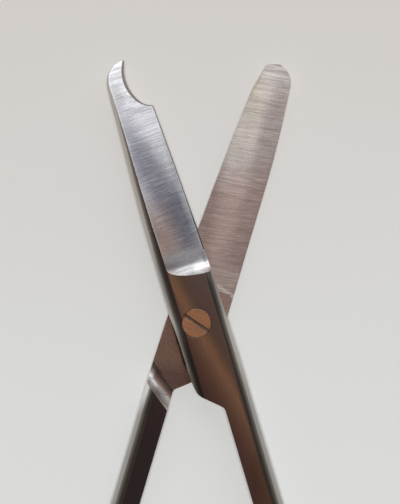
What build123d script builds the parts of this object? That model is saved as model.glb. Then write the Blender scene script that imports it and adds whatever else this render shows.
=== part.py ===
from build123d import *
from math import asin, cos, degrees, radians, sin
import os

# Suture scissors: two forged halves, lapped at the joint, and a slotted pivot screw.
# Both halves are drawn closed and with the outer face up: pivot at the origin, tip towards
# +Y, cutting edge and shank on the +X side. Lengths are in millimetres, angles in degrees.

# Whole instrument
overall_length = 115.0
blade_reach = 35.4
total_thickness = 4.4
lap_gap = 0.04
rest_angle = 16.5
edge_round = 1.5

# Joint plate and blade of both halves
cheek_radius = 2.0
cheek_lean = 7.7
nose_radius = 1.52
grind_start_y = 7.7
grind_scoop = 1.8
grind_tilt = 18.5
grind_fall = 0.8
grind_land = 1.4
tip_fall_reach = 11.0
tip_fall_radius = 130.0
hollow_start_y = 4.8
hollow_depth = 0.1
hollow_land = 0.35
shoulder_slant = 36.8
shoulder_root = 1.6
shoulder_relief = 0.14
edge_bevel = 20.0
bevel_start_y = 9.0

# Hook half
hook_spine_x = 3.16
hook_shank_outer_x = 4.15
hook_shank_inner_x = 0.40
hook_shoulder_y = -10.5
hook_cheek_x = 2.52
hook_cheek_y = -8.97
hook_crotch_y = -11.55
hook_crotch_radius = 1.0
hook_bend = (15.0, 250.0)
hook_crown_x = 2.38
hook_crown_radius = 3.1
hook_edge_tip = (2.14, blade_reach)
hook_edge_middle = (3.47, 14.0)
hook_edge_end = (4.25, -20.0)
hook_tip_x = 0.68
hook_throat = (0.12, blade_reach - 2.6)
hook_foot = (0.88, blade_reach - 5.3)
hook_heel = (2.6, blade_reach - 6.65)

# Round-tipped half
round_spine_x = 3.62
round_shank_outer_x = 4.02
round_shank_inner_x = 0.42
round_shoulder_y = -10.55
round_cheek_x = 3.36
round_cheek_y = -6.2
round_crotch_y = -9.27
round_crotch_radius = 0.7
round_bend = (blade_reach - 11.4, 120.0)
round_crown_x = 2.82
round_crown_radius = 2.75
round_edge_tip = (1.2, blade_reach)
round_edge_middle = (3.0, 16.0)
round_edge_end = (4.05, -18.0)
round_flat_slope = 12.7
round_flat_end = (0.78, blade_reach - 0.47)
round_nose_end = (1.66, blade_reach - 4.1)
round_nose_radius = 0.9

# Shanks and finger rings
shank_straight_y = -25.0
shank_bow = 2.6
ring_hole_width = 19.0
ring_hole_length = 22.0
ring_wall = 3.3
ring_gap = 0.7
ring_lean = 8.0
ring_inner_join = 158.0
ring_outer_join = 62.0
run_out_angle = 8.0

# Pivot screw
head_diameter = 3.8
head_height = 1.1
head_edge = 0.06
slot_width = 0.5
slot_depth = 0.55
slot_angle = -34.0
shoulder_diameter = 2.6
thread_diameter = 2.1
running_fit = 0.03
thread_fit = 0.01

# Worked out from the sizes above
plate_thickness = (total_thickness - lap_gap) / 2
mating_z = total_thickness - plate_thickness
ring_half_width = ring_hole_width / 2 + ring_wall
ring_half_length = ring_hole_length / 2 + ring_wall
lean_cos = cos(radians(ring_lean))
lean_sin = sin(radians(ring_lean))
ring_reach_x = Vector(ring_half_width * lean_cos, ring_half_length * lean_sin).length
ring_reach_y = Vector(ring_half_width * lean_sin, ring_half_length * lean_cos).length
ring_x = ring_gap / 2 + ring_reach_x
ring_y = blade_reach - overall_length + ring_reach_y
rest_cos = cos(radians(rest_angle))
rest_sin = sin(radians(rest_angle))
past = 2 * total_thickness


def ring_rim():
    """Open stretch of the finger ring's outer oval, from the inner to the outer shank."""
    return EllipticalCenterArc(
        (ring_x, ring_y), ring_half_width, ring_half_length, rotation=ring_lean,
        start_angle=ring_inner_join, arc_size=360 + ring_outer_join - ring_inner_join,
    )


def blank_plan(spine_x, bend, outer_x, crown_x, crown_radius):
    """Outline of one blank with its finger hole, before its sides are ground. The spine
    bends in towards the tip at a height and with a radius."""
    bend_y, bend_radius = bend
    with BuildSketch() as plan:
        with BuildLine():
            FilletPolyline(
                (-spine_x, shank_straight_y), (-spine_x, bend_y),
                (-crown_x, blade_reach), (outer_x, blade_reach), (outer_x, shank_straight_y),
                radius=(bend_radius, crown_radius, nose_radius),
            )
            rim = ring_rim()
            Spline((outer_x, shank_straight_y), rim @ 1, tangents=[(0, -1), -(rim % 1)])
            Spline(rim @ 0, (-spine_x, shank_straight_y), tangents=[-(rim % 0), (0, 1)])
        make_face()
        with Locations(Location((ring_x, ring_y), ring_lean)):
            Ellipse(ring_hole_width / 2, ring_hole_length / 2, mode=Mode.SUBTRACT)
    return plan.sketch


def beyond_edge(edge, low_y, height):
    """What lies outside the cutting edge above low_y, drawn at a height in the plate."""
    with BuildSketch(Plane.XY.offset(height)) as side:
        with BuildLine():
            line = ThreePointArc(*edge)
            Polyline(
                line @ 1, (3 * past, (line @ 1).Y), (3 * past, blade_reach + past),
                (line @ 0) - (line % 0) * past, line @ 0,
            )
        make_face()
        with Locations((0, low_y)):
            Rectangle(
                6 * past, overall_length, align=(Align.CENTER, Align.MIN), mode=Mode.INTERSECT
            )
    return side.sketch


def inner_side(inner_x, crotch_y, crotch_radius, cheek):
    """What is ground off the inner side, square to the plate: cheek, crotch and shank."""
    rim = ring_rim()
    run_out = (rim % 0).rotate(Axis.Z, -run_out_angle)
    cheek_lead = Vector(-sin(radians(cheek_lean)), cos(radians(cheek_lean)))
    with BuildSketch() as side:
        with BuildLine():
            ground = FilletPolyline(
                Vector(cheek) + cheek_lead * past, cheek, (inner_x, crotch_y),
                (inner_x, shank_straight_y), radius=(cheek_radius, crotch_radius),
            )
            bow = Spline(
                ground @ 1, (inner_x + shank_bow, (shank_straight_y + (rim @ 0).Y) / 2),
                rim @ 0, tangents=[(0, -1), run_out],
            )
            clear = (bow @ 1) + run_out * past
            Polyline(bow @ 1, clear, (-3 * past, clear.Y), (-3 * past, (ground @ 0).Y), ground @ 0)
        make_face()
    return side.sketch


def lap_side(shoulder_y, inner_x, outer_x):
    """Side view of what the lap takes away under the mating face, down to the shoulder. The
    root's arc dips a little into the mating face before it rises along the shoulder."""
    slant = radians(shoulder_slant)
    wall_line = Vector(cos(slant), sin(slant))
    wall = Plane(
        origin=((inner_x + outer_x) / 2, shoulder_y, mating_z),
        x_dir=(-wall_line.Y, wall_line.X, 0),
        z_dir=wall_line,
    )
    lead_in = degrees(asin(1 - shoulder_relief / shoulder_root))
    with BuildSketch(wall) as side:
        with BuildLine():
            root = CenterArc(
                (shoulder_root, shoulder_relief - shoulder_root), shoulder_root,
                start_angle=lead_in, arc_size=180 - lead_in,
            )
            Polyline(
                root @ 1, (0, -past), (overall_length, -past), (overall_length, 0), root @ 0
            )
        make_face()
    return side.sketch


def grind_side(spine_x):
    """Side view of what the wheel grinds off the outer face, from its scoop to the tip."""
    tilt = radians(grind_tilt)
    fall = radians(grind_fall)
    wheel = Plane(
        origin=(grind_land - spine_x, 0, total_thickness),
        x_dir=(0, 1, 0),
        z_dir=(cos(tilt), 0, -sin(tilt)),
    )
    with BuildSketch(wheel) as side:
        with BuildLine():
            start = (grind_start_y, 0)
            scoop = JernArc(start, (-cos(fall), sin(fall)), grind_scoop, grind_fall - 90)
            face = PolarLine(start, blade_reach - tip_fall_reach - grind_start_y, -grind_fall)
            tip = JernArc(face @ 1, face % 1, tip_fall_radius, -tip_fall_reach / 2)
            Polyline(tip @ 1, ((tip @ 1).X, past), ((scoop @ 1).X, past), scoop @ 1)
        make_face()
    return side.sketch


def hollow_end(spine_x, outer_x):
    """End view of the shallow hollow in the blade's mating face."""
    left = (hollow_land - spine_x, mating_z)
    right = (outer_x - 2 * hollow_land, mating_z)
    with BuildSketch(Plane.XZ.offset(-hollow_start_y)) as end:
        with BuildLine():
            SagittaArc(left, right, hollow_depth)
            Polyline(left, (left[0], 0), (right[0], 0), right)
        make_face()
    return end.sketch


def forging(spine_x, inner_x, outer_x, shoulder_y, blank, inner, edge):
    """One blank with rounded rims, ground along both sides, lapped at the joint, ground
    outside and hollowed inside, with its cutting edge bevelled."""
    with BuildPart() as half:
        extrude(blank, amount=total_thickness)
        fillet(half.faces().filter_by(Axis.Z).edges(), edge_round)
        extrude(inner, amount=total_thickness, mode=Mode.SUBTRACT)
        extrude(
            beyond_edge(edge, shank_straight_y, 0), amount=total_thickness, mode=Mode.SUBTRACT
        )
        extrude(
            lap_side(shoulder_y, inner_x, outer_x),
            amount=blade_reach, both=True, mode=Mode.SUBTRACT,
        )
        extrude(grind_side(spine_x), amount=past, both=True, mode=Mode.SUBTRACT)
        extrude(hollow_end(spine_x, outer_x), amount=-blade_reach, mode=Mode.SUBTRACT)
        extrude(
            beyond_edge(edge, bevel_start_y, mating_z),
            amount=plate_thickness, taper=-edge_bevel, mode=Mode.SUBTRACT,
        )
    return half.part


hook_blank = forging(
    hook_spine_x, hook_shank_inner_x, hook_shank_outer_x, hook_shoulder_y,
    blank=blank_plan(
        hook_spine_x, hook_bend, hook_shank_outer_x, hook_crown_x, hook_crown_radius
    ),
    inner=inner_side(
        hook_shank_inner_x, hook_crotch_y, hook_crotch_radius, (-hook_cheek_x, hook_cheek_y),
    ),
    edge=[hook_edge_tip, hook_edge_middle, hook_edge_end],
)
round_blank = forging(
    round_spine_x, round_shank_inner_x, round_shank_outer_x, round_shoulder_y,
    blank=blank_plan(
        round_spine_x, round_bend, round_shank_outer_x, round_crown_x, round_crown_radius
    ),
    inner=inner_side(
        round_shank_inner_x, round_crotch_y, round_crotch_radius,
        (-round_cheek_x, round_cheek_y),
    ),
    edge=[round_edge_tip, round_edge_middle, round_edge_end],
)

# Hook half: the notch and cutting edge ground under a bevel, and the stepped screw seat
with BuildPart() as hook_forging:
    add(hook_blank)
    with BuildSketch(Plane.XY.offset(mating_z)):
        with BuildLine():
            throat = ThreePointArc((hook_tip_x, blade_reach), hook_throat, hook_foot)
            foot = TangentArc(throat @ 1, hook_heel, tangent=throat % 1)
            clear = (3 * past, blade_reach + past)
            Polyline(
                foot @ 1, (foot @ 1) + (foot % 1) * past, clear,
                (throat @ 0) - (throat % 0) * past, throat @ 0,
            )
        make_face()
    extrude(amount=plate_thickness, taper=-edge_bevel, mode=Mode.SUBTRACT)
    with Locations((0, 0, total_thickness)):
        CounterBoreHole(
            radius=shoulder_diameter / 2 + running_fit,
            counter_bore_radius=head_diameter / 2 + running_fit,
            counter_bore_depth=head_height + running_fit,
        )

# Round-tipped half: a small flat across the tip, its corner eased, and the tapped hole
with BuildPart() as round_forging:
    add(round_blank)
    with BuildSketch():
        with BuildLine():
            flat_lead = Vector(cos(radians(round_flat_slope)), -sin(radians(round_flat_slope)))
            nose = FilletPolyline(
                Vector(round_flat_end) - flat_lead * past, round_flat_end, round_nose_end,
                radius=round_nose_radius,
            )
            Polyline(nose @ 1, (past, (nose @ 1).Y), (past, blade_reach + past), nose @ 0)
        make_face()
    extrude(amount=total_thickness, mode=Mode.SUBTRACT)
    Hole(thread_diameter / 2 + thread_fit)

# The two halves opened, the hook half in front
with BuildPart(Plane(origin=(0, 0, 0), x_dir=(rest_cos, rest_sin, 0))) as hook_blade:
    add(hook_forging.part)
with BuildPart(
    Plane(origin=(0, 0, total_thickness), x_dir=(-rest_cos, rest_sin, 0), z_dir=(0, 0, -1))
) as round_blade:
    add(round_forging.part)

# Screw: flush slotted head, plain shoulder that the hook half turns on, threaded end
with BuildPart() as pivot_screw:
    with BuildSketch(Plane.XZ):
        with BuildLine():
            Polyline(
                (0, 0), (thread_diameter / 2, 0), (thread_diameter / 2, plate_thickness),
                (shoulder_diameter / 2, plate_thickness),
                (shoulder_diameter / 2, total_thickness - head_height),
                (head_diameter / 2, total_thickness - head_height),
                (head_diameter / 2, total_thickness), (0, total_thickness), (0, 0),
            )
        make_face()
    revolve(axis=Axis.Z)
    chamfer(pivot_screw.edges().group_by(Axis.Z)[-1], head_edge)
    with Locations(Location((0, 0, total_thickness), (0, 0, slot_angle))):
        Box(past, slot_width, 2 * slot_depth, mode=Mode.SUBTRACT)

hook_blade.part.label = "hook_blade"
round_blade.part.label = "round_blade"
pivot_screw.part.label = "pivot_screw"

os.makedirs("parts", exist_ok=True)
export_step(hook_blade.part, "parts/hook_blade.step")
export_step(round_blade.part, "parts/round_blade.step")
export_step(pivot_screw.part, "parts/pivot_screw.step")
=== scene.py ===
"""Suture scissors lying open on a pale bench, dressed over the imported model.

Lengths are in metres and angles in radians unless a name or a docstring says otherwise. Each
half of the scissors has a frame of its own, as it was ground: pivot at the origin, tip towards
+Y, cutting edge and shank on the +X side, outer face up.
"""

import logging
from dataclasses import dataclass, replace
from enum import Enum
from math import atan2, cos, radians, sin

import bpy
from mathutils import Matrix, Vector

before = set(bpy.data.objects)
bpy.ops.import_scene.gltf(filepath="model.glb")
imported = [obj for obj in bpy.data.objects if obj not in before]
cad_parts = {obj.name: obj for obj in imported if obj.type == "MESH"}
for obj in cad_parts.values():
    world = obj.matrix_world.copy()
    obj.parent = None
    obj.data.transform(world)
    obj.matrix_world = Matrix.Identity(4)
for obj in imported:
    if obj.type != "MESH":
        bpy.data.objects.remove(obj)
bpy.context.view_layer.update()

LOG = logging.getLogger("suture_scissors")
MM = 0.001
REST_ANGLE = radians(16.5)
TOTAL_THICKNESS = 4.4 * MM
MATING_HEIGHT = 2.22 * MM
EDGE_ROUND = 1.5 * MM
SPINE = 3.16 * MM

Socket = bpy.types.NodeSocket
Colour = tuple[float, float, float, float]
Stops = tuple[tuple[float, Colour], ...]
WHITE: Colour = (1.0, 1.0, 1.0, 1.0)


class Surface(Enum):
    """The surfaces of a half that are finished in their own way, as material slots."""

    POLISHED = 0
    GROUND = 1
    HOLLOW = 2
    RIDE = 3
    BEVEL = 4
    RIM = 5
    SHOULDER = 6


class Outline(Enum):
    """How a patch of the room or of a face is bounded."""

    ROUND = "round"
    SQUARE = "square"


class NodeBench:
    """Builds one node tree with short calls.

    Args:
        tree: the node tree to fill; its nodes are cleared first.
    """

    def __init__(self, tree: bpy.types.NodeTree) -> None:
        """Clears the tree and keeps it."""
        self.tree = tree
        self.tree.nodes.clear()

    def feed(self, socket: Socket, value: object) -> None:
        """Links a socket to the value, or sets the value on it.

        Args:
            socket: the input to feed.
            value: another node's output, or a plain value.
        """
        if isinstance(value, Socket):
            self.tree.links.new(value, socket)
        else:
            socket.default_value = value

    def add(self, kind: str, settings: dict[str, object] | None = None,
            **inputs: object) -> bpy.types.Node:
        """Adds a node.

        Args:
            kind: the node's type name.
            settings: properties of the node to set.
            inputs: values or sockets for its inputs; underscores stand for spaces.

        Returns:
            The new node.
        """
        node = self.tree.nodes.new(kind)
        for name, value in (settings or {}).items():
            setattr(node, name, value)
        for name, value in inputs.items():
            self.feed(node.inputs[name.replace("_", " ")], value)
        return node

    def math(self, operation: str, *values: object) -> Socket:
        """Works out one sum.

        Args:
            operation: the name of the sum.
            values: up to three numbers or sockets.

        Returns:
            The result.
        """
        node = self.tree.nodes.new("ShaderNodeMath")
        node.operation = operation
        for socket, value in zip(node.inputs, values):
            self.feed(socket, value)
        return node.outputs[0]

    def vector_math(self, operation: str, *values: object) -> bpy.types.NodeOutputs:
        """Works out one sum on vectors.

        Args:
            operation: the name of the sum.
            values: one or two vectors or sockets.

        Returns:
            The outputs: a vector, and a number under the name Value.
        """
        node = self.tree.nodes.new("ShaderNodeVectorMath")
        node.operation = operation
        for socket, value in zip(node.inputs, values):
            self.feed(socket, value)
        return node.outputs

    def square(self, value: object) -> Socket:
        """Returns a number times itself."""
        return self.math("MULTIPLY", value, value)

    def clamped(self, value: object, low: float = 0.0, high: float = 1.0) -> Socket:
        """Returns a number kept between two others."""
        return self.math("MINIMUM", self.math("MAXIMUM", value, low), high)

    def other_leg(self, leg: object) -> Socket:
        """Returns the other leg of a right triangle whose long side is 1."""
        rest = self.math("SUBTRACT", 1.0, self.square(leg))
        return self.math("SQRT", self.math("MAXIMUM", rest, 0.0))

    def total(self, *parts: tuple[float, object]) -> Socket:
        """Adds numbers up, each times its weight.

        Args:
            parts: pairs of a weight and a number or socket.

        Returns:
            The sum.
        """
        result: object = 0.0
        for weight, value in parts:
            result = self.math("MULTIPLY_ADD", value, weight, result)
        return result

    def mix(self, factor: object, first: object, second: object, blend: str = "MIX") -> Socket:
        """Blends two colours.

        Args:
            factor: how far the second colour counts.
            first: the first colour.
            second: the second colour.
            blend: the name of the blend.

        Returns:
            The blended colour.
        """
        node = self.tree.nodes.new("ShaderNodeMix")
        node.data_type = "RGBA"
        node.blend_type = blend
        self.feed(node.inputs["Factor"], factor)
        self.feed(node.inputs[6], first)
        self.feed(node.inputs[7], second)
        return node.outputs[2]

    def remap(self, value: object, low: float, high: float, to_low: float = 0.0,
              to_high: float = 1.0) -> Socket:
        """Moves a number smoothly from one range to another and clamps it there.

        Args:
            value: the number.
            low: where the first range starts.
            high: where the first range ends.
            to_low: where the second range starts.
            to_high: where the second range ends.

        Returns:
            The moved number.
        """
        node = self.tree.nodes.new("ShaderNodeMapRange")
        node.interpolation_type = "SMOOTHSTEP"
        for name, number in (("Value", value), ("From Min", low), ("From Max", high),
                             ("To Min", to_low), ("To Max", to_high)):
            self.feed(node.inputs[name], number)
        return node.outputs["Result"]

    def ramp(self, value: object, stops: Stops) -> Socket:
        """Colours a number by a ramp.

        Args:
            value: the number, from 0 to 1.
            stops: the ramp's places and their colours, in order.

        Returns:
            The colour.
        """
        node = self.add("ShaderNodeValToRGB", Fac=value)
        elements = node.color_ramp.elements
        elements[0].position, elements[0].color = stops[0]
        elements[1].position, elements[1].color = stops[-1]
        for position, colour in stops[1:-1]:
            elements.new(position).color = colour
        return node.outputs["Color"]

    def mapped(self, vector: object, scale: tuple[float, float, float] = (1.0, 1.0, 1.0),
               turn: float = 0.0, shift: tuple[float, float, float] = (0.0, 0.0, 0.0),
               ) -> Socket:
        """Scales a vector along its axes, turns it about Z and then shifts it.

        Args:
            vector: the vector.
            scale: the scale along each axis.
            turn: the turn about Z.
            shift: the shift along each axis.

        Returns:
            The moved vector.
        """
        node = self.tree.nodes.new("ShaderNodeMapping")
        self.feed(node.inputs["Vector"], vector)
        node.inputs["Scale"].default_value = scale
        node.inputs["Rotation"].default_value = (0.0, 0.0, turn)
        node.inputs["Location"].default_value = shift
        return node.outputs["Vector"]

    def split(self, vector: object) -> bpy.types.NodeOutputs:
        """Returns the X, Y and Z of a vector."""
        return self.add("ShaderNodeSeparateXYZ", Vector=vector).outputs

    def join(self, x: object, y: object, z: object = 0.0) -> Socket:
        """Returns the vector with an X, a Y and a Z."""
        return self.add("ShaderNodeCombineXYZ", X=x, Y=y, Z=z).outputs[0]

    def noise(self, vector: object, scale: float = 1.0, detail: float = 2.0,
              roughness: float = 0.5) -> Socket:
        """Returns a noise value from 0 to 1 at a vector."""
        return self.add("ShaderNodeTexNoise", Vector=vector, Scale=scale, Detail=detail,
                        Roughness=roughness).outputs["Fac"]

    def mesh_normal(self) -> Socket:
        """Returns the normal of the mesh."""
        return self.add("ShaderNodeNewGeometry").outputs["Normal"]

    def eased_edges(self, radius: float) -> Socket:
        """Returns the normal of the surface with its sharp edges eased by a radius."""
        return self.add("ShaderNodeBevel", {"samples": 4}, Radius=radius).outputs["Normal"]

    def plate(self, lean: float) -> Socket:
        """Returns a piece's coordinates in millimetres, turned back by its lean."""
        place = self.add("ShaderNodeTexCoord").outputs["Object"]
        return self.mapped(place, (1 / MM, 1 / MM, 1 / MM), -lean)


@dataclass(frozen=True)
class PlateRim:
    """The quarter-round rim of a plate that lies from zero up.

    Each of its pairs of numbers says where a soft change starts and where it ends.

    Args:
        thickness: thickness of the plate.
        radius: radius of the rim.
        spine: distance from the pivot to the side of the spine.
        straight_start: the start of the spine's straight stretch, in millimetres.
        straight_end: its end, in millimetres.
        side_share: how far out on the spine's round its side counts, from 0 to 1.
        flat_share: how near to a flat face the mesh's own normal counts, from 0 to 1.
        least_square: the least square of a length that another is divided by.
    """

    thickness: float = TOTAL_THICKNESS
    radius: float = EDGE_ROUND
    spine: float = SPINE
    straight_start: tuple[float, float] = (9.8, 10.4)
    straight_end: tuple[float, float] = (13.2, 13.6)
    side_share: tuple[float, float] = (0.05, 0.15)
    flat_share: tuple[float, float] = (0.86, 0.95)
    least_square: float = 1e-9

    def normal(self, bench: NodeBench, plate: Socket) -> Socket:
        """Works out the rim's normal, true at every height.

        The straight stretch of the spine goes by the distance from its side instead.

        Args:
            bench: the bench of the node tree.
            plate: the place on the plate.

        Returns:
            The normal; near the flat faces it is the mesh's own.
        """
        place = bench.split(plate)
        above = bench.math("SUBTRACT", bench.math("MULTIPLY", place["Z"], MM),
                           self.thickness / 2)
        reach = bench.math("SUBTRACT", bench.math("ABSOLUTE", above),
                           self.thickness / 2 - self.radius)
        climb = bench.clamped(bench.math("DIVIDE", reach, self.radius))
        inward = bench.math("ADD", place["X"], (self.spine - self.radius) / MM)
        lean_out = bench.clamped(bench.math("DIVIDE", inward, -self.radius / MM))
        side_climb = bench.other_leg(lean_out)
        straight = bench.math("MULTIPLY", bench.remap(place["Y"], *self.straight_start),
                              bench.remap(place["Y"], *self.straight_end, 1.0, 0.0))
        on_spine = bench.math("MULTIPLY", straight, bench.remap(lean_out, *self.side_share))
        top = bench.math("MULTIPLY", on_spine, bench.math("GREATER_THAN", above, 0.0))
        climb = bench.math("MULTIPLY_ADD", bench.math("SUBTRACT", side_climb, climb), top, climb)
        mesh = bench.split(bench.mesh_normal())
        near_flat = bench.math("MULTIPLY", bench.remap(climb, *self.flat_share),
                               bench.math("SUBTRACT", 1.0, top))
        true_rise = bench.math("MULTIPLY", climb, bench.math("SIGN", above))
        lift = bench.math("SUBTRACT", mesh["Z"], true_rise)
        rise = bench.math("MULTIPLY_ADD", lift, near_flat, true_rise)
        level_square = bench.math("ADD", bench.square(mesh["X"]), bench.square(mesh["Y"]))
        level = bench.math("SQRT", bench.math("MAXIMUM", level_square, self.least_square))
        share = bench.math("DIVIDE", bench.other_leg(rise), level)
        return bench.join(bench.math("MULTIPLY", mesh["X"], share),
                          bench.math("MULTIPLY", mesh["Y"], share), rise)


@dataclass(frozen=True)
class Patch:
    """A part of the room, or of a face, with a colour of its own and a soft border; on a face it
    is painted light.

    In the room its measures are those of a direction, and on a face they are millimetres.

    Args:
        colour: its colour.
        middle: the x and y of its middle.
        reach: half its length and half its width, in the same measure.
        turn: how far it is turned, in degrees.
        softness: the share of its reach over which it fades.
        outline: how it is bounded.
        strength: how far it covers what lies behind it.
    """

    colour: Colour
    middle: tuple[float, float]
    reach: tuple[float, float]
    turn: float = 0.0
    softness: float = 0.5
    outline: Outline = Outline.ROUND
    strength: float = 1.0

    def cover(self, bench: NodeBench, place: Socket, behind: object) -> Socket:
        """Lays the patch over what lies behind it.

        Args:
            bench: the bench of the node tree.
            place: the direction looked in, or the place on the plate.
            behind: the colour behind the patch.

        Returns:
            The colour of both.
        """
        shifted = bench.mapped(place, shift=(-self.middle[0], -self.middle[1], 0.0))
        turned = bench.split(bench.mapped(shifted, turn=-radians(self.turn)))
        along = bench.math("ABSOLUTE", bench.math("DIVIDE", turned["X"], self.reach[0]))
        across = bench.math("ABSOLUTE", bench.math("DIVIDE", turned["Y"], self.reach[1]))
        if self.outline is Outline.ROUND:
            far = bench.math("SQRT", bench.math("ADD", bench.square(along),
                                                bench.square(across)))
        else:
            far = bench.math("MAXIMUM", along, across)
        mask = bench.remap(far, 1.0 - self.softness, 1.0 + self.softness, self.strength, 0.0)
        return bench.mix(mask, behind, self.colour)


# The layers of lines in bare steel: the share of each, and its width over that of a fine line.
LINE_LAYERS = ((0.70, 1.0), (0.24, 2.2), (0.06, 6.0))
# How far a layer's length grows with its width.
LENGTH_GROWTH = 0.4
# How fast the marks change with height, per millimetre.
DEPTH_SCALE = 0.2


@dataclass(frozen=True)
class Steel:
    """Bare steel with the marks of its last operation.

    The marks are lines across the blade or along it, in three widths, over a slight crown of
    the whole face. Colour, roughness and relief all follow them.

    Args:
        name: the material's name.
        colour: the colour of the bare metal.
        tarnish: what its darker lines and stains keep of that colour.
        roughness: the roughness between the lines.
        line_roughness: how much the lines add to it.
        line_depth: how deep the lines are.
        line_width: width of a fine line in millimetres.
        line_length: length of a fine line in millimetres.
        along: whether the lines run along the blade.
        line_turn: how far they are turned from that, in degrees.
        anisotropy: how far the lines stretch the reflection.
        crown_across: how fast the face falls off to its sides, per millimetre.
        crown_along: how fast the face falls off towards the tip, per millimetre.
        crown_middle: where the crown's top lies, across and along, in millimetres.
        crown_reach: how far from its middle the crown keeps falling faster, in millimetres.
        swell: height in millimetres of the soft waves left by hand polishing.
        rim: whether it is the rounded rim of a plate.
        edge_ease: radius to which its sharp edges are eased.
        edge_wear: how wide its edges are worn bright.
        scratches: how far a few fresh scratches brighten it.
        painted_light_patches: the parts of it with painted light: painted reflections,
            highlights and shade.
    """

    name: str
    colour: Colour
    tarnish: Colour
    roughness: float
    line_roughness: float
    line_depth: float
    line_width: float
    line_length: float
    along: bool = False
    line_turn: float = 0.0
    anisotropy: float = 0.0
    crown_across: float = 0.0
    crown_along: float = 0.0
    crown_middle: tuple[float, float] = (0.0, 0.0)
    crown_reach: tuple[float, float] = (0.0, 40.0)
    swell: float = 0.0
    rim: bool = False
    edge_ease: float = 0.05 * MM
    edge_wear: float = 0.0
    scratches: float = 0.0
    painted_light_patches: tuple[Patch, ...] = ()

    def lines(self, bench: NodeBench, plate: Socket) -> Socket:
        """Draws the lines in all their layers.

        Args:
            bench: the bench of the node tree.
            plate: the place on the plate.

        Returns:
            The height of the lines there, from 0 to 1.
        """
        side_drift = 0.2
        drift = bench.noise(plate, scale=0.25, detail=1.0)
        push = bench.join(drift, bench.math("MULTIPLY", drift, side_drift))
        turned = bench.mapped(bench.vector_math("ADD", plate, push)[0],
                              turn=radians(-self.line_turn))
        layers = []
        for share, growth in LINE_LAYERS:
            width = self.line_width * growth
            length = self.line_length * (1.0 - LENGTH_GROWTH + LENGTH_GROWTH * growth)
            across, ahead = (width, length) if self.along else (length, width)
            place = bench.mapped(turned, (1 / across, 1 / ahead, DEPTH_SCALE))
            layers.append((share, bench.noise(place, roughness=0.6)))
        return bench.total(*layers)

    def fresh_scratches(self, bench: NodeBench, plate: Socket) -> Socket:
        """Draws a few fine, fresh scratches, a little askew from the lines.

        Args:
            bench: the bench of the node tree.
            plate: the place on the plate.

        Returns:
            How far the place is part of a scratch, times their brightness.
        """
        askew = 4.0
        per_mm = (0.6, 13.0)
        turned = bench.mapped(plate, turn=radians(-self.line_turn - askew))
        marks = bench.noise(bench.mapped(turned, (*per_mm, DEPTH_SCALE)), detail=1.0)
        return bench.remap(marks, low=0.60, high=0.74, to_high=self.scratches)

    def worn_edge(self, bench: NodeBench) -> Socket:
        """Finds the edges that are worn bright, by how far easing them bends the normal.

        Args:
            bench: the bench of the node tree.

        Returns:
            How far a place is part of a worn edge, from 0 to 1.
        """
        eased = bench.eased_edges(self.edge_wear)
        bent = bench.vector_math("DOT_PRODUCT", eased, bench.mesh_normal())["Value"]
        return bench.remap(bent, low=0.90, high=0.999, to_low=1.0, to_high=0.0)

    def face_height(self, bench: NodeBench, plate: Socket) -> Socket:
        """Works out the shape of the crowned and softly waved face.

        Args:
            bench: the bench of the node tree.
            plate: the place on the plate.

        Returns:
            The height of the face there, in millimetres.
        """
        waves_per_mm = (0.22, 0.06, 0.1)
        place = bench.split(plate)
        across = bench.math("SUBTRACT", place["X"], self.crown_middle[0])
        ahead = bench.math("SUBTRACT", place["Y"], self.crown_middle[1])
        near = bench.clamped(ahead, *self.crown_reach)
        return bench.total(
            (-self.crown_across / 2, bench.square(across)),
            (-self.crown_along, bench.math("MULTIPLY", ahead, near)),
            (self.crown_along / 2, bench.square(near)),
            (self.swell, bench.noise(bench.mapped(plate, waves_per_mm), detail=1.0)),
        )

    def metal(self, bench: NodeBench, plate: Socket, lines: Socket) -> Socket:
        """Colours the metal by its painted reflections, highlights and shade and by its wear,
        and darkens its lines and stains.

        Args:
            bench: the bench of the node tree.
            plate: the place on the plate.
            lines: the height of the lines there.

        Returns:
            The colour.
        """
        line_share = 0.56
        stain_share = 0.20
        grain_share = 0.24
        tone: object = self.colour
        # Painted reflections, highlights and shade, laid over the metal's colour.
        for patch in self.painted_light_patches:
            tone = patch.cover(bench, plate, tone)
        if self.edge_wear:
            tone = bench.mix(self.worn_edge(bench), tone, WHITE)
        stain = bench.remap(bench.noise(plate, scale=0.22, detail=4.0), low=0.35, high=0.7)
        grain = bench.remap(bench.noise(plate, scale=5.5, detail=1.0), low=0.38, high=0.62)
        spread = bench.total((line_share, bench.remap(lines, low=0.43, high=0.57)),
                             (stain_share, stain), (grain_share, grain))
        colour = bench.mix(spread, tone, self.tarnish, "MULTIPLY")
        if self.scratches:
            colour = bench.mix(self.fresh_scratches(bench, plate), colour, WHITE)
        return colour

    def relief(self, bench: NodeBench, plate: Socket, lines: Socket) -> Socket:
        """Shapes the surface: eased edges or a rounded rim, the crown, and then the lines.

        Args:
            bench: the bench of the node tree.
            plate: the place on the plate.
            lines: the height of the lines there.

        Returns:
            The normal.
        """
        if self.rim:
            bare = PlateRim().normal(bench, plate)
        else:
            bare = bench.eased_edges(self.edge_ease)
        crown = bench.add("ShaderNodeBump", Strength=1.0, Distance=MM,
                          Height=self.face_height(bench, plate), Normal=bare)
        marks = bench.add("ShaderNodeBump", Strength=1.0, Distance=self.line_depth,
                          Height=lines, Normal=crown.outputs["Normal"])
        return marks.outputs["Normal"]

    def tangent(self, bench: NodeBench, lean: float) -> Socket:
        """Finds the tangent of the stretched reflection, which is square to the lines.

        Args:
            bench: the bench of the node tree.
            lean: the angle of the blade from +Y.

        Returns:
            The tangent in the world.
        """
        stretch = (cos(lean), sin(lean)) if self.along else (-sin(lean), cos(lean))
        settings = {"vector_type": "VECTOR", "convert_from": "OBJECT", "convert_to": "WORLD"}
        return bench.add("ShaderNodeVectorTransform", settings,
                         Vector=(*stretch, 0.0)).outputs[0]

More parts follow.
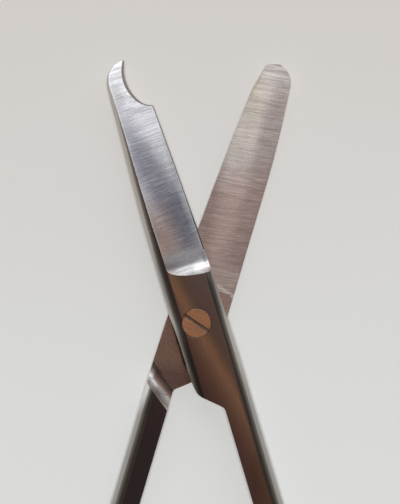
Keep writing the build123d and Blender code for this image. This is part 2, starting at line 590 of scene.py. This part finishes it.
    def material(self, lean: float) -> bpy.types.Material:
        """Makes the material for a piece that leans by an angle.

        Args:
            lean: the angle of the blade from +Y.

        Returns:
            The new material.
        """
        material = bpy.data.materials.new(self.name)
        material.use_nodes = True
        bench = NodeBench(material.node_tree)
        plate = bench.plate(lean)
        lines = self.lines(bench, plate)
        roughness = bench.remap(lines, low=0.40, high=0.60, to_low=self.roughness,
                                to_high=self.roughness + self.line_roughness)
        shader = bench.add(
            "ShaderNodeBsdfPrincipled",
            Base_Color=self.metal(bench, plate, lines),
            Metallic=1.0,
            Roughness=roughness,
            Anisotropic=self.anisotropy,
            Tangent=self.tangent(bench, lean),
            Normal=self.relief(bench, plate, lines),
        )
        bench.add("ShaderNodeOutputMaterial", Surface=shader.outputs["BSDF"])
        return material


@dataclass(frozen=True)
class HalfFinish:
    """The finishes of one half, one for each surface.

    Args:
        polished: the flat of the plate and the shank with its ring.
        ground: the tilted outer face of the blade, with the scoop.
        hollow: the inner face of the blade.
        ride: the inner face of the lap.
        bevel: the honed edge and the screw's seat.
        rim: the rounded rim of the plate and the shank.
        shoulder: the step from the lap to the full thickness.
    """

    polished: Steel
    ground: Steel
    hollow: Steel
    ride: Steel
    bevel: Steel
    rim: Steel
    shoulder: Steel

    def in_slots(self) -> tuple[Steel, ...]:
        """Returns the finishes in the order of the surfaces."""
        return tuple(getattr(self, surface.name.lower()) for surface in Surface)


@dataclass
class BladeHalf:
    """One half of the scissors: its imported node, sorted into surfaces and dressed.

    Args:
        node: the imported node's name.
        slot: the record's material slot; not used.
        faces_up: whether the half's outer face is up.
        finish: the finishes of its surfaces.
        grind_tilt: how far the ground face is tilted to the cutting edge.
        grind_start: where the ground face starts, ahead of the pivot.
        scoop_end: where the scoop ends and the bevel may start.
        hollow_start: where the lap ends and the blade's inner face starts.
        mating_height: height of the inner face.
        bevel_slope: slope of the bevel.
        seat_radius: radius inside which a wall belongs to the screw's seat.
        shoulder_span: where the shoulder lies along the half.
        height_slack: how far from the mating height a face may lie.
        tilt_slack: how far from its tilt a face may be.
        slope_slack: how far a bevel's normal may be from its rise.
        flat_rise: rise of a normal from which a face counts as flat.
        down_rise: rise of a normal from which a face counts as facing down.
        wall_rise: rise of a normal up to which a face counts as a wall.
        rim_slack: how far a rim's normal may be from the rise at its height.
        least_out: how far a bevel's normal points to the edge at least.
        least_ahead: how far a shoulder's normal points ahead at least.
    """

    node: str
    slot: str
    faces_up: bool
    finish: HalfFinish
    grind_tilt: float = radians(18.5)
    grind_start: float = 5.8 * MM
    scoop_end: float = 8.2 * MM
    hollow_start: float = 4.8 * MM
    mating_height: float = MATING_HEIGHT
    bevel_slope: float = radians(20)
    seat_radius: float = 2.0 * MM
    shoulder_span: tuple[float, float] = (-16.0 * MM, -4.0 * MM)
    height_slack: float = 0.2 * MM
    tilt_slack: float = radians(6)
    slope_slack: float = 0.08
    flat_rise: float = 0.985
    down_rise: float = 0.9
    wall_rise: float = 0.5
    rim_slack: float = 0.4
    least_out: float = 0.2
    least_ahead: float = 0.15

    @property
    def lean(self) -> float:
        """The angle of the blade from +Y: to the left where the outer face is up."""
        return REST_ANGLE if self.faces_up else -REST_ANGLE

    def own_frame(self) -> Matrix:
        """Works out how the half lies in its own frame.

        Returns:
            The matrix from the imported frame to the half's own frame.
        """
        turn = Matrix.Rotation(-self.lean, 4, "Z")
        if self.faces_up:
            return turn
        flip = Matrix.Diagonal((-1.0, 1.0, -1.0, 1.0))
        return Matrix.Translation((0.0, 0.0, TOTAL_THICKNESS)) @ flip @ turn

    def on_rim(self, normal: Vector, heights: list[float]) -> bool:
        """Tells whether a face lies on the rounded rim.

        Args:
            normal: the face's normal, in the half's own frame.
            heights: the heights of its corners.

        Returns:
            Whether its slope suits its height all over.
        """
        if abs(normal.z) > self.flat_rise:
            return False
        middle = TOTAL_THICKNESS / 2
        for height in heights:
            climb = (abs(height - middle) - middle + EDGE_ROUND) / EDGE_ROUND
            rise = min(max(climb, 0.0), 1.0)
            if abs(normal.z - (rise if height > middle else -rise)) > self.rim_slack:
                return False
        return True

    def surface_at(self, place: Vector, normal: Vector, heights: list[float]) -> Surface:
        """Tells which surface a face belongs to.

        Args:
            place: the middle of the face, in the half's own frame.
            normal: the face's normal there.
            heights: the heights of its corners.

        Returns:
            The surface.
        """
        near_mating = abs(place.z - self.mating_height) < self.height_slack
        if normal.z < -self.down_rise and near_mating:
            return Surface.HOLLOW if place.y > self.hollow_start else Surface.RIDE
        above_lap = place.y > self.grind_start and place.z > self.mating_height
        tilted = abs(atan2(normal.x, normal.z) - self.grind_tilt) < self.tilt_slack
        if above_lap and tilted:
            return Surface.GROUND
        sloping = abs(normal.z - sin(self.bevel_slope)) < self.slope_slack
        past_scoop = place.y > self.scoop_end and above_lap
        if past_scoop and sloping and normal.x > self.least_out:
            return Surface.BEVEL
        if place.to_2d().length < self.seat_radius and abs(normal.z) < self.wall_rise:
            return Surface.BEVEL
        below_joint = self.shoulder_span[0] < place.y < self.shoulder_span[1]
        low = place.z < self.mating_height + self.height_slack
        if below_joint and low and normal.y > self.least_ahead:
            return Surface.SHOULDER
        return Surface.RIM if self.on_rim(normal, heights) else Surface.POLISHED

    def dress(self) -> bpy.types.Object:
        """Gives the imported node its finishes, face by face.

        Returns:
            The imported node's object.
        """
        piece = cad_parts[self.node]
        mesh = piece.data
        mesh.materials.clear()
        for steel in self.finish.in_slots():
            mesh.materials.append(steel.material(self.lean))
        to_own = self.own_frame()
        turn = to_own.to_3x3()
        own_heights = [(to_own @ vertex.co).z for vertex in mesh.vertices]
        for face in mesh.polygons:
            heights = [own_heights[corner] for corner in face.vertices]
            surface = self.surface_at(to_own @ face.center, turn @ face.normal, heights)
            face.material_index = surface.value
        return piece


@dataclass
class PivotScrew:
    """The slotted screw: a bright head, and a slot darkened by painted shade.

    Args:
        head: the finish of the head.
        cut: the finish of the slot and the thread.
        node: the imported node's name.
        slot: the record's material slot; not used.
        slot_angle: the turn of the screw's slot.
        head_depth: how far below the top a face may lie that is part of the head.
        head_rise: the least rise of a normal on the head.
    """

    head: Steel
    cut: Steel
    node: str = "pivot_screw"
    slot: str = "screw_steel"
    slot_angle: float = radians(-34)
    head_depth: float = 0.08 * MM
    head_rise: float = 0.95

    def dress(self) -> bpy.types.Object:
        """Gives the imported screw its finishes.

        Returns:
            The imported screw's object.
        """
        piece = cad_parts[self.node]
        mesh = piece.data
        mesh.materials.clear()
        for steel in (self.head, self.cut):
            mesh.materials.append(steel.material(self.slot_angle))
        head_floor = TOTAL_THICKNESS - self.head_depth
        for face in mesh.polygons:
            on_top = face.center.z > head_floor and face.normal.z > self.head_rise
            face.material_index = 0 if on_top else 1
        return piece


@dataclass
class Studio:
    """Pale bench, its lamp, and the camera above.

    Args:
        image_height: height of the picture in pixels.
        pixels_per_mm: scale of the picture at the top of the joint.
        camera_height: how high the camera hangs over the bench.
        camera_x: place of the picture's middle across the bench.
        camera_y: place of the picture's middle along the bench.
        clip_start: the least distance that the camera sees.
        clip_end: the greatest distance that the camera sees.
        sensor: height of the camera's sensor in millimetres.
        bench_reach: how far the bench top reaches from the joint.
        bench_gap: gap between the bench top and the scissors.
        bench_shade: where the shade along the bench top starts and ends.
        cloud_scale: how fine the clouds in that shade are.
        cloud_reach: how far the clouds shift the shade.
        bench_colours: the ramp of the shade's colours.
        lamp_height: how high the lamp hangs.
        lamp_width: width of its window.
        lamp_power: its power in watts.
    """

    image_height: int = 504
    pixels_per_mm: float = 7.75
    camera_height: float = 0.25
    camera_x: float = 0.45 * MM
    camera_y: float = 9.2 * MM
    clip_start: float = 0.01
    clip_end: float = 20.0
    sensor: float = 36.0
    bench_reach: float = 3.0
    bench_gap: float = 0.03 * MM
    bench_shade: tuple[float, float] = (-0.05, 0.07)
    cloud_scale: float = 14.0
    cloud_reach: float = 0.02
    bench_colours: Stops = (
        (0.0, (0.714, 0.722, 0.711, 1.0)),
        (0.45, (0.672, 0.677, 0.665, 1.0)),
        (1.0, (0.625, 0.597, 0.575, 1.0)),
    )
    lamp_height: float = 1.2
    lamp_width: float = 0.2
    lamp_power: float = 11.3

    def camera(self) -> bpy.types.Object:
        """Hangs the camera straight over the joint.

        Returns:
            The camera.
        """
        data = bpy.data.cameras.new("camera over the joint")
        data.sensor_fit = "VERTICAL"
        data.sensor_height = self.sensor
        distance_mm = (self.camera_height - TOTAL_THICKNESS) / MM
        data.lens = self.pixels_per_mm * self.sensor * distance_mm / self.image_height
        data.clip_start = self.clip_start
        data.clip_end = self.clip_end
        camera = bpy.data.objects.new("camera over the joint", data)
        camera.location = (self.camera_x, self.camera_y, self.camera_height)
        bpy.context.scene.collection.objects.link(camera)
        bpy.context.scene.camera = camera
        return camera

    def bench_finish(self) -> bpy.types.Material:
        """Makes the matt, pale finish of the bench top.

        Returns:
            The new material.
        """
        material = bpy.data.materials.new("bench top")
        material.use_nodes = True
        bench = NodeBench(material.node_tree)
        place = bench.add("ShaderNodeTexCoord").outputs["Object"]
        cloud = bench.noise(place, self.cloud_scale)
        up = bench.split(place)["Y"]
        shade = bench.remap(bench.total((1.0, up), (self.cloud_reach, cloud)),
                            *self.bench_shade)
        shader = bench.add("ShaderNodeBsdfPrincipled", Roughness=0.9,
                           Base_Color=bench.ramp(shade, self.bench_colours))
        shader.inputs["Specular IOR Level"].default_value = 0.1
        bench.add("ShaderNodeOutputMaterial", Surface=shader.outputs["BSDF"])
        return material

    def bench_top(self) -> bpy.types.Object:
        """Lays the pale bench top under the scissors.

        Returns:
            The bench top.
        """
        reach = self.bench_reach
        mesh = bpy.data.meshes.new("bench top")
        corners = [(-reach, -reach), (reach, -reach), (reach, reach), (-reach, reach)]
        mesh.from_pydata([(x, y, -self.bench_gap) for x, y in corners], [], [(0, 1, 2, 3)])
        top = bpy.data.objects.new("bench_top", mesh)
        bpy.context.scene.collection.objects.link(top)
        mesh.materials.append(self.bench_finish())
        return top

    def lamp(self) -> bpy.types.Object:
        """Hangs a square lamp that lights the bench but isn't mirrored by the steel.

        Returns:
            The lamp, straight over the joint.
        """
        data = bpy.data.lights.new("bench lamp", "AREA")
        data.shape = "SQUARE"
        data.size = self.lamp_width
        data.energy = self.lamp_power
        lamp = bpy.data.objects.new("bench lamp", data)
        lamp.location = (0.0, 0.0, self.lamp_height)
        lamp.visible_glossy = False
        bpy.context.scene.collection.objects.link(lamp)
        return lamp


@dataclass(frozen=True)
class Ceiling:
    """The brown ceiling of the room with its lit beam, by the direction looked in.

    Args:
        across_beam: the x and y of the level direction across the beam.
        beam_side: how far the beam lies to one side of straight up.
        spread: the share of the ramp that a distance of 1 takes.
        border: where the ceiling starts to fade, away from straight up, and where it ends.
        wood: the ramp of its colours across the beam, which lies in the ramp's middle.
    """

    across_beam: tuple[float, float] = (0.673, 0.740)
    beam_side: float = 0.0393
    spread: float = 1.25
    border: tuple[float, float] = (0.48, 0.62)
    wood: Stops = (
        (0.02, (0.039, 0.028, 0.031, 1.0)),
        (0.19, (0.051, 0.033, 0.034, 1.0)),
        (0.34, (0.105, 0.053, 0.045, 1.0)),
        (0.39, (0.143, 0.073, 0.051, 1.0)),
        (0.42, (0.157, 0.086, 0.061, 1.0)),
        (0.465, (0.205, 0.118, 0.081, 1.0)),
        (0.50, (0.300, 0.155, 0.092, 1.0)),
        (0.53, (0.242, 0.125, 0.076, 1.0)),
        (0.56, (0.173, 0.094, 0.063, 1.0)),
        (0.59, (0.100, 0.075, 0.056, 1.0)),
        (0.63, (0.123, 0.073, 0.066, 1.0)),
        (0.75, (0.133, 0.088, 0.078, 1.0)),
    )

    def cover(self, bench: NodeBench, direction: Socket, behind: Socket) -> Socket:
        """Lays the ceiling over the room.

        Args:
            bench: the bench of the room's node tree.
            direction: the direction looked in.
            behind: the colour of the room behind.

        Returns:
            The colour of both.
        """
        way = bench.split(direction)
        beam = bench.total((self.across_beam[0], way["X"]), (self.across_beam[1], way["Y"]),
                           (1.0, self.beam_side))
        colour = bench.ramp(bench.math("MULTIPLY_ADD", beam, self.spread, 0.5), self.wood)
        aside = bench.vector_math("LENGTH", bench.join(way["X"], way["Y"]))["Value"]
        return bench.mix(bench.remap(aside, *self.border, 1.0, 0.0), behind, colour)


@dataclass(frozen=True)
class Room:
    """The room that the steel mirrors, painted by the direction looked in.

    Args:
        windows: the lit parts of the room, from back to front.
        ceiling: the brown ceiling.
        walls: the ramp of the walls' colours, from straight down to straight up.
        wall_light: strength of the walls' light to the sides.
        back_fade: how much of it is lost towards the back.
        matt_fade: how much of the room's light matt surfaces don't get.
    """

    windows: tuple[Patch, ...]
    ceiling: Ceiling = Ceiling()
    walls: Stops = (
        (0.0, (0.46, 0.445, 0.42, 1.0)),
        (0.49, (0.45, 0.435, 0.41, 1.0)),
        (0.604, (0.33, 0.315, 0.29, 1.0)),
        (0.70, (0.20, 0.187, 0.17, 1.0)),
        (0.787, (0.118, 0.106, 0.095, 1.0)),
        (0.854, (0.085, 0.073, 0.065, 1.0)),
        (1.0, (0.062, 0.052, 0.047, 1.0)),
    )
    wall_light: float = 0.85
    back_fade: float = 0.28
    matt_fade: float = 0.5

    def paint(self) -> bpy.types.World:
        """Paints the walls, the ceiling over them, and the windows over both.

        Returns:
            The new world.
        """
        world = bpy.data.worlds.new("room")
        bpy.context.scene.world = world
        world.use_nodes = True
        bench = NodeBench(world.node_tree)
        direction = bench.add("ShaderNodeTexCoord").outputs["Generated"]
        way = bench.split(direction)
        walls = bench.ramp(bench.math("MULTIPLY_ADD", way["Z"], 0.5, 0.5), self.walls)
        light = bench.math("MULTIPLY_ADD", way["Y"], -self.back_fade, self.wall_light)
        view = bench.add("ShaderNodeVectorMath", {"operation": "SCALE"}, Scale=light,
                         Vector=walls).outputs[0]
        view = self.ceiling.cover(bench, direction, view)
        for window in self.windows:
            view = window.cover(bench, direction, view)
        on_matt = bench.add("ShaderNodeLightPath").outputs["Is Diffuse Ray"]
        strength = bench.math("MULTIPLY_ADD", on_matt, -self.matt_fade, 1.0)
        back = bench.add("ShaderNodeBackground", Color=view, Strength=strength)
        bench.add("ShaderNodeOutputWorld", Surface=back.outputs["Background"])
        return world


def polished_steel() -> Steel:
    """Returns the lengthwise polish of the plates, the shanks and the rings."""
    return Steel("polished steel", (0.62, 0.58, 0.54, 1.0), (0.88, 0.86, 0.84, 1.0),
                 roughness=0.09, line_roughness=0.05, line_depth=0.0010 * MM,
                 line_width=0.14, line_length=6.0, along=True, edge_ease=0.015 * MM,
                 crown_across=0.03, crown_along=0.01, crown_reach=(-16.0, 16.0), swell=0.004,
                 painted_light_patches=(
                     # A darker painted reflection on the shank.
                     Patch((0.44, 0.42, 0.39, 1.0), (2.6, -22.0), (1.5, 4.0), softness=0.6),
                 ))


def rounded_rim(polished: Steel) -> Steel:
    """Returns the polish of the rounded rim, made from that of the flats."""
    return replace(polished, name="rounded rim", rim=True, colour=(0.56, 0.525, 0.49, 1.0),
                   painted_light_patches=(
                       # Painted light: darker painted reflections along the shanks, beside the
                       # lap, along the spine and on the edge's side of the joint, and a painted
                       # highlight beside the shoulder.
                       Patch((0.44, 0.42, 0.40, 1.0), (0.0, -34.0), (40.0, 26.0),
                             softness=0.1, outline=Outline.SQUARE),
                       Patch((0.24, 0.22, 0.20, 1.0), (-3.2, -6.0), (1.6, 6.0), softness=0.3),
                       Patch((0.32, 0.30, 0.285, 1.0), (-2.5, 5.6), (0.45, 5.4)),
                       Patch((0.90, 0.88, 0.84, 1.0), (-4.2, -9.3), (1.1, 3.0), softness=0.6),
                       Patch((0.36, 0.34, 0.32, 1.0), (4.0, 4.5), (1.4, 4.5), softness=0.4),
                   ))


def ground_face() -> Steel:
    """Returns the cross-ground finish of the blade's outer face and its scoop."""
    return Steel("ground blade face", (0.88, 0.88, 0.90, 1.0), (0.56, 0.56, 0.58, 1.0),
                 roughness=0.28, line_roughness=0.12, line_depth=0.006 * MM,
                 line_width=0.08, line_length=3.2, line_turn=3.0, edge_wear=0.45 * MM,
                 scratches=0.3, anisotropy=0.6, crown_across=0.02, crown_along=0.004,
                 crown_middle=(0.5, 8.0), painted_light_patches=(
                     # Painted reflections: the dark stretch of the face and its lighter cutting
                     # edge.
                     Patch((0.39, 0.39, 0.44, 1.0), (0.1, 19.2), (1.7, 8.8), turn=12,
                           softness=0.7),
                     Patch((0.30, 0.295, 0.34, 1.0), (1.7, 13.8), (2.1, 4.7), softness=0.6),
                     Patch((0.60, 0.60, 0.64, 1.0), (3.1, 18.0), (0.5, 5.5), softness=0.7),
                     # A painted reflection: the brown stretch beside the spine.
                     Patch((0.60, 0.45, 0.39, 1.0), (-1.6, 11.0), (2.2, 4.6), softness=0.7),
                     Patch((0.72, 0.56, 0.50, 1.0), (-1.7, 9.4), (0.9, 2.0), softness=0.6),
                     # The scoop's painted reflections, painted highlight and painted shade, from
                     # its upper border to its corner at the cutting edge.
                     Patch((0.68, 0.66, 0.67, 1.0), (0.5, 8.4), (4.0, 1.0)),
                     Patch((0.50, 0.47, 0.46, 1.0), (-1.4, 7.0), (2.4, 1.5)),
                     Patch((0.68, 0.68, 0.685, 1.0), (0.9, 6.9), (1.5, 1.2)),
                     Patch(WHITE, (3.1, 6.7), (1.3, 1.3), softness=0.4),
                     Patch((0.58, 0.57, 0.58, 1.0), (3.55, 7.9), (0.45, 0.9)),
                     Patch((0.16, 0.12, 0.10, 1.0), (4.1, 6.1), (0.5, 0.55)),
                     # A painted reflection on the hook.
                     Patch((0.66, 0.66, 0.68, 1.0), (-1.5, 31.3), (0.8, 1.7), softness=0.6),
                 ))


def brushed_face() -> Steel:
    """Returns the brushed finish of the blade's inner face; its warm tint is a painted
    reflection.
    """
    return Steel("brushed inner face", (0.57, 0.43, 0.39, 1.0), (0.66, 0.64, 0.62, 1.0),
                 roughness=0.40, line_roughness=0.14, line_depth=0.008 * MM,
                 line_width=0.08, line_length=3.2, line_turn=7.0, scratches=0.3,
                 anisotropy=0.8, crown_along=0.004, crown_middle=(0.0, 4.8), painted_light_patches=(
                     # Painted reflections: the light outer half of the blade, and a streak
                     # nearer to the joint.
                     Patch((0.92, 0.88, 0.86, 1.0), (0.2, 32.0), (4.0, 6.0), softness=0.7),
                     Patch((1.0, 0.95, 0.91, 1.0), (-0.6, 24.5), (2.1, 7.0), softness=0.6),
                     Patch((0.80, 0.61, 0.56, 1.0), (-0.1, 13.5), (1.3, 6.5), softness=0.8),
                     # A painted reflection on the yellow stretch, and painted shade on the dark
                     # edge at the tip.
                     Patch((1.0, 0.94, 0.84, 1.0), (-0.7, 28.8), (1.3, 4.6), turn=-4,
                           softness=0.8),
                     Patch((0.86, 0.72, 0.50, 1.0), (-1.9, 31.6), (0.6, 2.6), turn=-10,
                           softness=0.7),
                     Patch((0.40, 0.38, 0.37, 1.0), (-0.1, 35.65), (1.5, 0.62), softness=0.3),
                     # Painted reflections on the end beside the lap and on the darker edge, and
                     # a painted highlight for the light line at the lap.
                     Patch((0.74, 0.60, 0.55, 1.0), (1.6, 6.6), (4.0, 1.6)),
                     Patch((0.62, 0.55, 0.52, 1.0), (2.4, 27.0), (1.5, 6.5), softness=0.7),
                     Patch((1.0, 0.93, 0.90, 1.0), (2.5, 4.97), (1.6, 0.24), turn=-17,
                           outline=Outline.SQUARE),
                 ))


def rubbed_lap() -> Steel:
    """Returns the finish of the lap, rubbed smooth by the other half; its warm tint is a painted
    reflection.
    """
    return Steel("rubbed joint face", (0.66, 0.52, 0.44, 1.0), (0.80, 0.77, 0.74, 1.0),
                 roughness=0.25, line_roughness=0.05, line_depth=0.0005 * MM,
                 line_width=0.15, line_length=3.0, anisotropy=0.5, painted_light_patches=(
                     # Painted light: a lighter painted reflection and a highlight line near the
                     # blade, then painted shade and a painted highlight near the shoulder.
                     Patch((1.0, 0.86, 0.77, 1.0), (3.0, 3.6), (2.0, 1.6), softness=0.6),
                     Patch(WHITE, (2.5, 4.97), (1.6, 0.24), turn=-17, outline=Outline.SQUARE),
                     Patch((0.43, 0.34, 0.30, 1.0), (-0.7, -8.6), (4.0, 2.2), softness=0.6),
                     Patch(WHITE, (-3.9, -7.9), (0.5, 0.9)),
                 ))


def honed_bevel() -> Steel:
    """Returns the finish of the honed cutting edge, dark with painted shade."""
    return Steel("honed bevel", (0.30, 0.28, 0.26, 1.0), (0.75, 0.73, 0.70, 1.0),
                 roughness=0.30, line_roughness=0.08, line_depth=0.001 * MM,
                 line_width=0.2, line_length=3.0, along=True)


def wheel_cut_shoulder() -> Steel:
    """Returns the finish of the shoulder, as the wheel cut it."""
    return Steel("wheel-cut shoulder", (0.76, 0.73, 0.71, 1.0), (0.80, 0.79, 0.78, 1.0),
                 roughness=0.42, line_roughness=0.10, line_depth=0.004 * MM,
                 line_width=0.15, line_length=3.0, painted_light_patches=(
                     # A darker painted reflection and a painted highlight.
                     Patch((0.50, 0.48, 0.47, 1.0), (-1.75, -9.6), (1.2, 0.9)),
                     Patch(WHITE, (-3.5, -8.6), (1.0, 1.4)),
                 ))


def screw_head() -> Steel:
    """Returns the bright finish of the screw's head."""
    return Steel("screw head", (1.0, 0.88, 0.75, 1.0), (0.90, 0.86, 0.84, 1.0),
                 roughness=0.07, line_roughness=0.05, line_depth=0.0008 * MM,
                 line_width=0.15, line_length=2.0, edge_ease=0.015 * MM)


def screw_slot() -> Steel:
    """Returns the finish of the screw's slot and thread, darkened by painted shade."""
    return Steel("screw slot", (0.56, 0.42, 0.32, 1.0), (0.70, 0.66, 0.62, 1.0),
                 roughness=0.40, line_roughness=0.10, line_depth=0.003 * MM,
                 line_width=0.12, line_length=1.5)


def half_finish() -> HalfFinish:
    """Returns the finishes that both halves share."""
    polished = polished_steel()
    return HalfFinish(polished, ground_face(), brushed_face(), rubbed_lap(), honed_bevel(),
                      rounded_rim(polished), wheel_cut_shoulder())


def room_windows() -> tuple[Patch, ...]:
    """Returns the windows of the room, from back to front."""
    return (
        Patch((1.15, 1.17, 1.25, 1.0), (0.223, 0.549), (0.52, 0.27), turn=8,
              softness=0.22, outline=Outline.SQUARE),
        Patch((1.60, 1.59, 1.58, 1.0), (0.25, 0.80), (0.66, 0.28), turn=8,
              softness=0.35, outline=Outline.SQUARE),
    )


def main() -> None:
    """Builds the studio, dresses every piece and reports each one."""
    logging.basicConfig(level=logging.INFO, format="%(name)s: %(message)s")
    bpy.context.scene.view_settings.view_transform = "Standard"
    studio = Studio()
    studio.camera()
    studio.bench_top()
    studio.lamp()
    Room(room_windows()).paint()
    finish = half_finish()
    pieces = [
        BladeHalf("hook_blade", "blade_steel", True, finish),
        BladeHalf("round_blade", "blade_steel", False, finish),
        PivotScrew(screw_head(), screw_slot()),
    ]
    for piece in pieces:
        dressed = piece.dress()
        LOG.info("%s: %d faces dressed", dressed.name, len(dressed.data.polygons))


if __name__ == "__main__":
    main()
